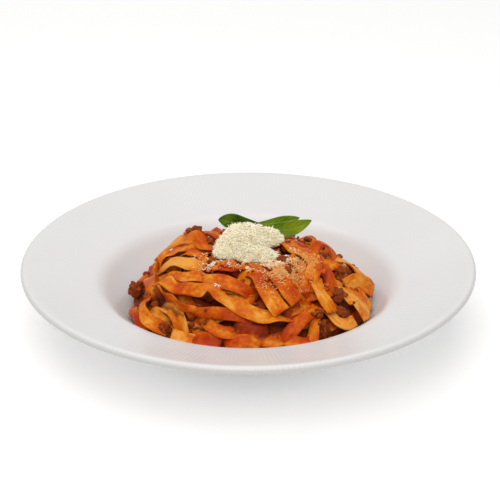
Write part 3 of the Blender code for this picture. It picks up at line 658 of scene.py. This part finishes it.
def pasta_material():
    """Pale egg pasta, more or less coated with tomato sauce, with painted shade where it lies low in the
    heap.
    """
    shader = Shader("sauced_fettuccine", IOR=1.2, Subsurface_Weight=0.15, Subsurface_Scale=0.0015,
                    Subsurface_Radius=(1.0, 0.3, 0.1))
    smear = shader.strip_noise(0.09, 3.0)
    speck = shader.strip_noise(0.55, 3.0)
    amount = shader.math("ADD", shader.attribute("sauce"), shader.math("MULTIPLY", smear, 2.4))
    amount = shader.math("ADD", amount, shader.math("MULTIPLY", speck, 0.8))
    amount = shader.math("SUBTRACT", amount, 1.62, clamp=True)
    # painted shade darkens the noodles that lie low in the heap
    shader.color(shader.mix(shader.attribute("deep"), shader.ramp(amount, COAT), PAINTED_SHADE_PASTA))
    shader.roughness(shader.ramp(amount, [(0.2, 0.42), (0.8, 0.26)]))
    shader.bump(shader.math("ADD", amount, shader.math("MULTIPLY", speck, 0.5)), 0.0005, 0.8)
    return shader.material


def bed_material():
    """The thick sauce between the noodles, nearly black red in its depths."""
    shader = Shader("ragu_sauce", Roughness=0.35, IOR=1.2)
    shader.color(shader.ramp(shader.noise(240.0, 5.0, 0.65), SAUCE))
    shader.bump(shader.noise(500.0, 4.0), 0.0008)
    return shader.material


def mince_material():
    """Browned mince under a thin coat of sauce."""
    shader = Shader("browned_mince", IOR=1.2, Subsurface_Weight=0.1, Subsurface_Scale=0.001)
    shader.color(shader.ramp(shader.noise(420.0, 5.0, 0.7), MINCE))
    shader.roughness(shader.ramp(shader.noise(600.0, 3.0), [(0.3, 0.32), (0.7, 0.6)]))
    shader.bump(shader.noise(1500.0, 4.0, 0.6), 0.0006)
    return shader.material


def pulp_material():
    """Bits of cooked tomato."""
    shader = Shader("tomato_pulp", Roughness=0.3, IOR=1.25, Subsurface_Weight=0.15, Subsurface_Scale=0.002,
                    Subsurface_Radius=(1.0, 0.2, 0.08))
    shader.color(shader.ramp(shader.noise(500.0, 3.0), PULP))
    shader.bump(shader.noise(900.0, 3.0), 0.0004)
    return shader.material


def cheese_material(name, tones):
    """Dry shreds of a hard cheese."""
    shader = Shader(name, Roughness=0.6, IOR=1.4)
    shader.color(shader.ramp(shader.noise(300.0, 3.0), tones))
    return shader.material


def basil_material(name, dark, light):
    """Waxy leaf with paler veins, between two greens."""
    shader = Shader(name, IOR=1.2, Subsurface_Weight=0.1, Subsurface_Scale=0.001,
                    Subsurface_Radius=(0.4, 1.0, 0.1))
    blade = shader.ramp(shader.noise(120.0, 3.0), [(0.3, dark), (0.7, light)])
    shader.color(shader.mix(shader.attribute("vein"), blade, LEAF_VEIN))
    shader.roughness(shader.ramp(shader.noise(300.0, 2.0), [(0.3, 0.5), (0.7, 0.65)]))
    shader.bump(shader.noise(700.0, 3.0), 0.0002)
    return shader.material


# ---- plate

def edge_height(t):
    """Height at a share of the bend from the well to the rim: a cubic that meets both at their slopes."""
    low, high = float(well_height(EDGE_RADII[0])), WELL_EDGE_Z + EDGE_RISE
    span = EDGE_RADII[1] - EDGE_RADII[0]
    return ((2 * t**3 - 3 * t**2 + 1) * low + (t**3 - 2 * t**2 + t) * span * EDGE_SLOPES[0]
            + (3 * t**2 - 2 * t**3) * high + (t**3 - t**2) * span * EDGE_SLOPES[1])


def plate_profile():
    """Outline of the plate's wall from the floor's middle over the lip and down to the foot, with the share
    of rib and of painted lip shade at each point."""
    well = [(r, float(well_height(r)), 0.0, 0.0) for r in WELL_RINGS]
    near, far = EDGE_RADII
    edge = [(near + (far - near) * t, edge_height(t), 0.0, 0.0) for t in np.linspace(0, 1, 8)]
    lip_r, lip_z = PLATE_RADIUS - LIP_RADIUS, WELL_EDGE_Z + RIM_RISE
    lip = []
    for turn in LIP_TURNS:
        a = math.radians(turn)
        # painted shade: greyer round the outer face of the lip
        lip_shade = min(1.0, max(0.0, 1 - turn / LIP_SHADE_TURN))
        lip.append((lip_r + LIP_RADIUS * math.cos(a), lip_z + LIP_RADIUS * math.sin(a), 1.0, lip_shade))
    rim = []
    for t in np.linspace(0, 1, 16)[1:-1]:
        r = far + (lip[0][0] - far) * t
        z = edge[-1][1] + (lip[0][1] - edge[-1][1]) * t - RIM_SAG * math.sin(math.pi * t)
        rim.append((r, z, min(1.0, max(0.0, (r - RIB_START) / RIB_FADE)), 0.0))
    under = curve_through([lip[-1][:2], *UNDERSIDE, (FOOT_RADIUS, 0)], UNDERSIDE_STEP)
    # painted shade of the lip, fading out over the first rows of the underside
    under = [(r, z, 0.0, max(0.0, 1 - (k + 1) / LIP_SHADE_ROWS)) for k, (r, z) in enumerate(under[1:])]
    inside = FOOT_RADIUS - FOOT_WIDTH
    foot = [(inside, 0, 0, 0), (inside - 1, FOOT_HEIGHT, 0, 0), (0, FOOT_HEIGHT, 0, 0)]
    return np.array(well + edge + rim + lip + under + foot)


def make_plate():
    """The plate, turned from its profile, with fine ribs that run out over the rim and the lip."""
    profile = plate_profile()
    rows = profile[1:-1]
    slope = np.gradient(rows[:, :2], axis=0)
    normal = np.stack([-slope[:, 1], slope[:, 0]], -1)
    normal /= np.linalg.norm(normal, axis=1, keepdims=True)
    sides = RIB_COUNT * RIB_SIDES
    angle = np.arange(sides) * math.tau / sides
    rib = np.cos(RIB_COUNT * angle)
    lift = RIB_HEIGHT * rows[:, 2:3] * (rib - 1) / 2
    r = rows[:, 0:1] + normal[:, 0:1] * lift
    z = rows[:, 1:2] + normal[:, 1:2] * lift
    points = np.stack([r * np.cos(angle), r * np.sin(angle), z], -1).reshape(-1, 3)
    # painted shade of the lip at each point
    lip_shade = np.append(np.repeat(rows[:, 3], sides), (0, 0))
    faces = grid_faces(len(rows), sides, True)
    top, bottom = len(points), len(points) + 1
    points = np.vstack([points, (0, 0, profile[0, 1]), (0, 0, profile[-1, 1])])
    last = (len(rows) - 1) * sides
    for j in range(sides):
        k = (j + 1) % sides
        faces.append((top, k, j))
        faces.append((bottom, last + j, last + k))
    plate = mesh_object("porcelain_plate", points, [face[::-1] for face in faces], {"lip_shade": lip_shade})
    return finish_piece(plate, porcelain_material(), "porcelain", "bowl")


# ---- pasta

def ribbon_points(line, roll, width, draw):
    """Points of a ribbon in rings, cupped and wavy, and where each lies across the ribbon."""
    run = np.arange(len(line)) * STEP
    wave = draw.uniform(*WAVE_LENGTHS)
    phase = draw.uniform(0, math.tau, 4)
    sway = np.sin(run[:, None] * math.tau / wave + phase)
    across, face = ribbon_frame(line, roll + TWIST * sway[:, 2])
    v = np.sin(np.linspace(-1, 1, RIBBON_COLUMNS) * math.pi / 2)
    body = 0.5 * RIBBON_THICK * np.sqrt(1 - np.abs(v) ** 6)
    half = 0.5 * width * (1 + WIDTH_WAVE * sway[:, 3])
    rise = CUPPING * sway[:, 2:3] * (v**2 - 0.5)
    for edge, reach in enumerate((np.clip(v, 0, 1), np.clip(-v, 0, 1))):
        rise = rise + RUFFLE * sway[:, edge:edge + 1] * reach**2
    taper = np.ones(len(line))
    taper[[0, -1]] = END_TAPER
    rings, place = [], []
    order = [(k, 1) for k in range(RIBBON_COLUMNS)] + [(k, -1) for k in range(RIBBON_COLUMNS - 2, 0, -1)]
    for k, sign in order:
        height = rise[:, k] + sign * body[k] * taper
        rings.append(line + across * (half * v[k])[:, None] + face * height[:, None])
        place.append(half * v[k] + FACE_SHIFT * sign)
    return np.stack(rings, 1), np.stack(place, 1)


def make_pasta(laid, field):
    """All the noodles as one mesh, each point knowing how saucy it is and how much painted shade it gets for
    lying below the top of the heap.
    """
    points, faces = [], []
    known = {"sauce": [], "deep": [], "along": [], "across": [], "noodle": []}
    draw = np.random.default_rng(21)
    total = 0
    for number, (line, roll, width, coat) in enumerate(laid):
        rings, place = ribbon_points(line, roll, width, draw)
        flat = rings.reshape(-1, 3)
        faces += shifted(ring_faces(len(rings), RIBBON_SIDES), total)
        total += len(flat)
        points.append(flat)
        # painted shade: the further a point lies below the top of the heap, the darker it is painted
        below = field[cells(flat[:, 0], flat[:, 1])] - flat[:, 2]
        known["deep"].append(np.clip((below - SHALLOW) / DEEP_REACH, 0, 1))
        known["sauce"].append(np.full(len(flat), coat))
        known["along"].append(np.repeat(np.arange(len(rings)) * STEP, RIBBON_SIDES))
        known["across"].append(place.reshape(-1))
        known["noodle"].append(np.full(len(flat), number))
    attributes = {key: np.concatenate(values) for key, values in known.items()}
    pasta = mesh_object("fettuccine_heap", np.vstack(points), faces, attributes)
    return finish_piece(pasta, pasta_material(), "pasta", "pasta")


def make_bed():
    """The bed of sauce that shows between the noodles, closed below along the well."""
    angle = np.arange(SAUCE_SIDES) * math.tau / SAUCE_SIDES
    points = []
    for share in np.linspace(0.02, 1, SAUCE_RINGS):
        x, y = SAUCE_RADIUS * share * np.cos(angle), SAUCE_RADIUS * share * np.sin(angle)
        low = well_height(SAUCE_RADIUS * share) + GAP + SAUCE_ROOM
        z = np.maximum(bed_height(x, y), low + SAUCE_SKIRT)
        lump = [SAUCE_LUMPS * noise.noise(Vector((a * 0.22, b * 0.22, 5))) for a, b in zip(x, y)]
        points.append(np.stack([x, y, np.maximum(z + np.array(lump), low + SAUCE_HEM)], -1))
    for share in SAUCE_BOTTOM_RINGS:
        x, y = SAUCE_RADIUS * share * np.cos(angle), SAUCE_RADIUS * share * np.sin(angle)
        low = float(well_height(SAUCE_RADIUS * share)) + GAP
        points.append(np.stack([x, y, np.full(SAUCE_SIDES, low)], -1))
    bed = mesh_object("sauce_bed", np.vstack(points), ring_faces(len(points), SAUCE_SIDES))
    return finish_piece(bed, bed_material(), "pasta")


# ---- lumps

def ball(level):
    """Points and triangles of a unit icosphere."""
    bpy.ops.mesh.primitive_ico_sphere_add(subdivisions=level, radius=1)
    made = bpy.context.active_object
    points = np.array([vert.co for vert in made.data.vertices])
    faces = [tuple(face.vertices) for face in made.data.polygons]
    bpy.data.objects.remove(made)
    return points, faces


def crumbly(points, seed, clumps, depth):
    """Push a ball's points in and out, so that it looks like a clump of small grains."""
    shift = Vector((seed * 7.3, seed * 3.1, 0))
    made = []
    for point in points:
        place = Vector((point * clumps).tolist()) + shift
        clump = noise.voronoi(place)[0][0]
        grain = noise.voronoi(place * 2.3)[0][0]
        swell = 1.1 * noise.noise(place * 0.6) + 0.45 - clump + 0.4 * (0.4 - grain)
        made.append(point * (1 + depth * swell))
    return np.array(made)


def make_meat():
    """Each lump of mince, in the place of its solid."""
    material = mince_material()
    points, faces = ball(5)
    for number, (x, y, lift, length, width, tall, turn) in enumerate(MEAT, 1):
        shape = crumbly(points, number, 2.0, 0.4) * (0.53 * length, 0.53 * width, 0.5 * tall)
        shape = turned(shape, math.radians(turn)) + (x, y, float(dome(x, y)) + lift)
        piece = mesh_object(f"mince_lump_{number:02d}", shape, faces)
        finish_piece(piece, material, "mince", f"meat_{number:02d}")


def drop_lumps(patches, squash, reach, sizes, rise, field, draw):
    """Lumps that lie on the noodles in patches, each as plan x and y, height of its middle and size."""
    lumps = []
    for middle_x, middle_y, spread, count in patches:
        for _ in range(count):
            x, y = middle_x + draw.normal(0, spread), middle_y + squash * draw.normal(0, spread)
            if math.hypot(x - HEAP_X, y) < reach:
                size = draw.uniform(*sizes)
                lumps.append((x, y, top_at(field, x, y) + rise * size, size))
    return lumps


def lump_mesh(name, lumps, squash, material, slot, draw):
    """Many small lumps as one mesh."""
    ball_points, ball_faces = ball(2)
    points, faces = [], []
    for number, (x, y, z, size) in enumerate(lumps):
        shape = crumbly(ball_points, number * 0.37, 1.6, 0.45)
        shape = shape * draw.uniform(0.7, 1.2, 3) * (1, 1, squash) * size
        points.append(turned(shape, draw.uniform(0, math.tau)) + (x, y, z))
        faces += shifted(ball_faces, number * len(ball_points))
    return finish_piece(mesh_object(name, np.vstack(points), faces), material, slot)


def make_crumbs(field):
    """Crumbs of mince in the gaps between the noodles, and a few on top of them."""
    draw = np.random.default_rng(31)
    crumbs = []
    while len(crumbs) < CRUMB_COUNT:
        heading, reach = draw.uniform(0, math.tau), CRUMB_REACH * math.sqrt(draw.uniform(0, 1))
        x, y = HEAP_X + reach * math.cos(heading), reach * math.sin(heading)
        top = top_at(field, x, y)
        if dome(x, y) - top >= CRUMB_DEPTH:
            size = draw.uniform(*CRUMB_SIZES)
            crumbs.append((x, y, top + 0.3 * size, size))
    crumbs += drop_lumps(MINCE_CLUSTERS, 1, WELL_RADIUS, CLUSTER_SIZES, 0.45, field, draw)
    return lump_mesh("mince_crumbs", crumbs, 0.8, mince_material(), "mince", draw)


def make_pulp(field):
    """Soft bits of tomato, most of them in front of the cheese."""
    draw = np.random.default_rng(37)
    bits = drop_lumps(PULP_PATCHES, PULP_SQUASH, PULP_REACH, PULP_SIZES, 0.25, field, draw)
    return lump_mesh("tomato_pulp_bits", bits, PULP_SQUASH, pulp_material(), "pasta", draw)


# ---- cheese

def mound_rise(x, y):
    """How far the parmesan's fluffy surface stands over the dome; below zero outside the mound."""
    rises = []
    for middle_x, middle_y, radius_x, radius_y, rise in MOUND_LOBES:
        reach = math.hypot((x - middle_x) / radius_x, (y - middle_y) / radius_y)
        rises.append(rise * (1 - reach**LOBE_POWER))
    fluff = sum(height * noise.noise(Vector((scale * x, scale * y, level))) for height, scale, level in FLUFF)
    return max(rises) + fluff


def core_reach(angle):
    """Share of the mound's radii at which its surface first sinks to the noodles along a heading."""
    for share in np.linspace(0.05, 1.0, 96):
        x, y = MOUND_X + MOUND_RX * share * math.cos(angle), MOUND_Y + MOUND_RY * share * math.sin(angle)
        if mound_rise(x, y) < MOUND_EDGE:
            return share
    return 1.0


def make_cheese_core(material):
    """The body of the mound, which fills the gaps between its shreds."""
    angle = np.arange(CHEESE_SIDES) * math.tau / CHEESE_SIDES
    reach = [core_reach(a) for a in angle]
    points = []
    for share in (*np.linspace(0.03, 1.0, CHEESE_RINGS), -CHEESE_FOOT):
        for a, limit in zip(angle, reach):
            x = MOUND_X + MOUND_RX * abs(share) * limit * math.cos(a)
            y = MOUND_Y + MOUND_RY * abs(share) * limit * math.sin(a)
            z = float(dome(x, y))
            z += mound_rise(x, y) - CHEESE_DROP if share > 0 else -CHEESE_DEPTH
            points.append((x, y, z))
    core = mesh_object("cheese_core", points, ring_faces(CHEESE_RINGS + 1, CHEESE_SIDES))
    finish_piece(core, material, "cheese")


def shred_mesh(name, spots, lengths, halves, tilt, draw, material, *nodes):
    """Shreds of cheese as one mesh: bent three-sided slivers at the spots, pitched at random."""
    count = len(spots)
    spots = np.array(spots)
    length = draw.uniform(*lengths, count)
    half = draw.uniform(*halves, count)
    heading = draw.uniform(0, math.tau, count)
    pitch = draw.normal(0, tilt, count)
    bend = draw.normal(0, SHRED_BEND, (count, 2)) * length[:, None]
    along = np.stack([np.cos(heading) * np.cos(pitch), np.sin(heading) * np.cos(pitch), np.sin(pitch)], -1)
    side = np.stack([-np.sin(heading), np.cos(heading), np.zeros(count)], -1)
    up = np.cross(along, side)
    spin = draw.uniform(0, math.tau, count)
    rings = []
    for t, taper in ((-0.5, SHRED_TAPER), (0.0, 1.0), (0.5, SHRED_TAPER)):
        arch = 0.25 - t * t
        middle = spots + along * (t * length)[:, None]
        middle = middle + side * (bend[:, 0:1] * arch) + up * (bend[:, 1:2] * arch)
        for corner in (0, math.tau / 3, 2 * math.tau / 3):
            flat = SHRED_FLATNESS * np.cos(spin + corner) * (half * taper)
            tall = np.sin(spin + corner) * (half * taper)
            rings.append(middle + side * flat[:, None] + up * tall[:, None])
    points = np.stack(rings, 1).reshape(-1, 3)
    shred = grid_faces(3, 3, True) + [(2, 1, 0), (6, 7, 8)]
    faces = [face for k in range(count) for face in shifted(shred, 9 * k)]
    piece = mesh_object(name, points, faces, smooth=False)
    return finish_piece(piece, material, "cheese", *nodes)


def make_mound(draw, material):
    """The shreds of the mound, a few of which stick out."""
    spots = []
    while len(spots) < MOUND_SHREDS:
        x = MOUND_X + MOUND_SPAN[0] * MOUND_RX * draw.uniform(-1, 1)
        y = MOUND_Y + MOUND_SPAN[1] * MOUND_RY * draw.uniform(-1, 1)
        rise = mound_rise(x, y) + SHRED_LAYER
        if rise > LAYER_EDGE:
            stray = draw.uniform() < STRAY_SHARE
            shift = draw.uniform(0, STRAY_RISE) if stray else -abs(draw.normal(0, SHRED_SINK))
            spots.append((x, y, float(dome(x, y)) + rise + shift))
    shred_mesh("cheese_mound", spots, MOUND_LENGTHS, MOUND_HALVES, MOUND_TILT, draw, material, "parmesan")


def make_fallen_cheese(name, patches, field, draw, material):
    """Shreds that lie on the noodles beside the mound."""
    spots = []
    for middle_x, middle_y, spread_x, spread_y, count in patches:
        for _ in range(count):
            x, y = draw.normal(middle_x, spread_x), draw.normal(middle_y, spread_y)
            top = top_at(field, x, y)
            if math.hypot(x - HEAP_X, y) < FALLEN_REACH and top > dome(x, y) - FALLEN_DEPTH:
                spots.append((x, y, top + draw.uniform(0.0, 0.4)))
    shred_mesh(name, spots, FALLEN_LENGTHS, FALLEN_HALVES, FALLEN_TILT, draw, material)


def make_cheese(field):
    """The mound of shreds over its own core, and the shreds that fell on the noodles around it."""
    draw = np.random.default_rng(41)
    clean = cheese_material("grated_cheese", CLEAN_TONES)
    sauced = cheese_material("sauced_cheese_shreds", SAUCED_TONES)
    make_cheese_core(clean)
    make_mound(draw, clean)
    make_fallen_cheese("scattered_cheese", CLEAN_CHEESE, field, draw, clean)
    make_fallen_cheese("sauced_cheese", SAUCED_CHEESE, field, draw, sauced)


# ---- basil

def leaf_points(base, middle, tip, width, tilt, cup, belly):
    """Front and back points of a leaf that puffs up between its veins, how far each lies on a vein, and
    whether its front had to be turned to face forward."""
    bend = 2 * middle - 0.5 * (base + tip)
    along = (tip - base).normalized()
    lean = Vector((0, math.cos(math.radians(tilt)), math.sin(math.radians(tilt))))
    across = (lean - along * lean.dot(along)).normalized()
    face = along.cross(across)
    backward = face.y > 0
    if backward:
        face = -face
    front, back, vein = [], [], []
    for i in range(LEAF_ROWS):
        t = i / (LEAF_ROWS - 1)
        centre = base * (1 - t) ** 2 + bend * 2 * t * (1 - t) + tip * t**2
        half = 0.5 * width * max(0.04, math.sin(math.pi * t**belly) ** 0.7)
        for j in range(LEAF_COLUMNS):
            v = 2 * j / (LEAF_COLUMNS - 1) - 1
            side_vein = abs(math.sin(math.pi * (VEIN_PAIRS * t - VEIN_SLANT * abs(v))))
            puff = LEAF_PUFF * side_vein * min(1, 3 * abs(v)) * (1 - v**6)
            midrib = math.exp(-((v * half / MIDRIB_WIDTH) ** 2))
            rise = cup * v * v + LEAF_WAVE * math.sin(9 * t + 2 * v)
            spot = centre + across * half * v + face * rise * half / (0.5 * width)
            front.append(spot + face * (puff + 0.5 * LEAF_THICK - MIDRIB_DEPTH * midrib))
            back.append(spot + face * (0.6 * puff - 0.5 * LEAF_THICK))
            vein.append(max(0.4 * midrib, 0.3 * (1 - side_vein) ** 4 * (1 - abs(v)), 0.5 * abs(v) ** 20))
    return front + back, vein * 2, backward


def blade_faces(rows, columns):
    """Faces of a thin blade: its front, its back, whose points follow, and the rim between them."""
    count = rows * columns
    quads = grid_faces(rows, columns, False)
    faces = quads + shifted([quad[::-1] for quad in quads], count)
    rim = list(range(columns)) + [i * columns + columns - 1 for i in range(1, rows)]
    rim += [(rows - 1) * columns + j for j in range(columns - 2, -1, -1)]
    rim += [i * columns for i in range(rows - 2, 0, -1)]
    for a, b in zip(rim, rim[1:] + rim[:1]):
        faces.append((b, a, count + a, count + b))
    return faces


def make_basil():
    """Each leaf, in the place of its solid."""
    for number, leaf in enumerate(BASIL, 1):
        ends = [Vector(leaf[key]) for key in ("base", "middle", "tip")]
        sizes = [leaf[key] for key in ("width", "tilt", "cup", "belly")]
        points, vein, backward = leaf_points(*ends, *sizes)
        faces = blade_faces(LEAF_ROWS, LEAF_COLUMNS)
        if backward:
            faces = [quad[::-1] for quad in faces]
        piece = mesh_object(f"basil_blade_{number}", [tuple(p) for p in points], faces, {"vein": vein})
        material = basil_material(f"basil_{number}", leaf["dark"], leaf["light"])
        finish_piece(piece, material, "basil", f"basil_leaf_{number}")


# ---- stage

def make_stage():
    """A plain white floor, lit until only the plate's shadow shows on it."""
    floor = mesh_object("floor", FLOOR_CORNERS, [(0, 1, 2, 3)])
    shader = Shader("white_floor", Roughness=0.9, Base_Color=(0.9, 0.9, 0.9, 1),
                    Emission_Color=(1, 1, 1, 1), Emission_Strength=FLOOR_GLOW)
    floor.data.materials.append(shader.material)


def make_light(name, place, aim, size, power, color):
    """A square soft light that faces its aim."""
    lamp = bpy.data.lights.new(name, "AREA")
    lamp.size = size
    lamp.energy = power
    lamp.color = color
    made = bpy.data.objects.new(name, lamp)
    made.location = place
    made.rotation_euler = (Vector(aim) - Vector(place)).to_track_quat("-Z", "Y").to_euler()
    bpy.context.scene.collection.objects.link(made)


def make_lights():
    """A big soft light over the plate, a smaller one from the front, and a pale surround."""
    for light in LIGHTS:
        make_light(*light)
    world = bpy.data.worlds.new("surround")
    world.use_nodes = True
    background = world.node_tree.nodes["Background"]
    background.inputs["Color"].default_value = (1, 1, 1, 1)
    background.inputs["Strength"].default_value = SURROUND
    bpy.context.scene.world = world
    bpy.context.scene.view_settings.view_transform = "Standard"


def make_camera():
    """The camera, looking down on the front of the plate."""
    lift = math.radians(CAMERA_ELEVATION)
    height = CAMERA_PIVOT_Z + CAMERA_DISTANCE * math.sin(lift)
    place = Vector((0, -CAMERA_DISTANCE * math.cos(lift), height)) * MM
    lens = bpy.data.cameras.new("camera")
    lens.sensor_width = SENSOR_WIDTH
    lens.lens = CAMERA_LENS
    lens.clip_start = 0.05
    camera = bpy.data.objects.new("camera", lens)
    camera.location = place
    camera.rotation_euler = (Vector(CAMERA_AIM) * MM - place).to_track_quat("-Z", "Y").to_euler()
    bpy.context.scene.collection.objects.link(camera)
    bpy.context.scene.camera = camera


make_camera()
make_lights()
make_stage()
make_plate()
laid, field = lay_noodles()
make_pasta(laid, field)
make_bed()
make_meat()
make_crumbs(field)
make_pulp(field)
make_cheese(field)
make_basil()
